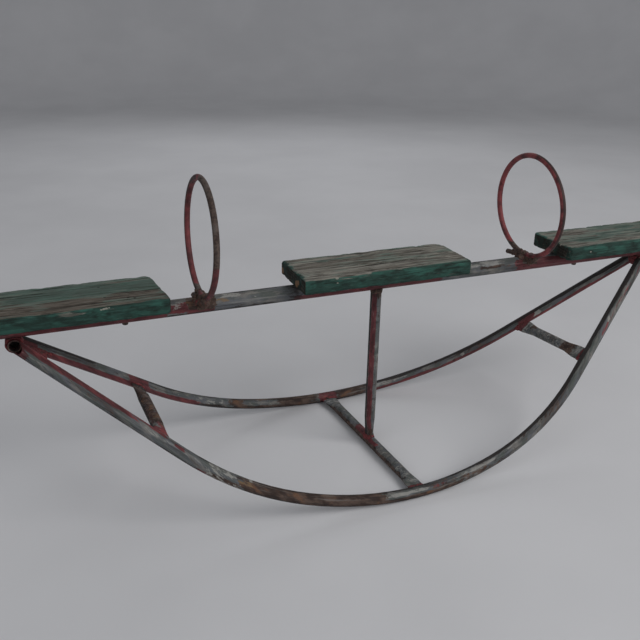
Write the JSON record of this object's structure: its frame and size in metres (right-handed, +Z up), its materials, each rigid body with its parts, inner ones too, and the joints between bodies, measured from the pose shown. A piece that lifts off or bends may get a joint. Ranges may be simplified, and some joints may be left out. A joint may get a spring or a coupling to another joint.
{
  "type": "rocking seesaw",
  "caption": "Child's rocking seesaw: a straight tubular beam on two splayed curved tube runners, with plank seats, a centre plank and ring handles.",
  "frame": {"origin": "on the floor, under mid length of the beam and midway between the two runners", "axes": "+X along the beam towards the right-hand seat, +Y across it towards the back runner, +Z up"},
  "size_m": [1.829, 0.501, 0.702],
  "materials": {
    "grey_steel": "worn grey-blue paint over steel tube, with red paint and rust",
    "red_steel": "worn dark red paint on steel rod",
    "green_wood": "green paint worn through to grey-brown weathered wood",
    "rusty_weld": "lumpy rusty weld metal with paint traces",
    "screw_steel": "dull rusty steel"
  },
  "bodies": {
    "root": {"beam_pipe": "grey_steel", "front_runner": "grey_steel", "back_runner": "grey_steel", "left_crossbar": "grey_steel", "centre_crossbar": "grey_steel", "right_crossbar": "grey_steel", "centre_post": "grey_steel", "left_end_stub": "grey_steel", "right_end_stub": "grey_steel", "left_ring_handle": "red_steel", "right_ring_handle": "red_steel", "left_seat_board": "green_wood", "centre_board": "green_wood", "right_seat_board": "green_wood", "left_handle_weld": "rusty_weld", "right_handle_weld": "rusty_weld", "left_end_weld": "rusty_weld", "right_end_weld": "rusty_weld", "left_crossbar_welds": "rusty_weld", "centre_crossbar_welds": "rusty_weld", "right_crossbar_welds": "rusty_weld", "post_top_weld": "rusty_weld", "post_foot_weld": "rusty_weld", "left_seat_screws": "screw_steel", "centre_board_screws": "screw_steel", "right_seat_screws": "screw_steel"}
  },
  "joints": []
}
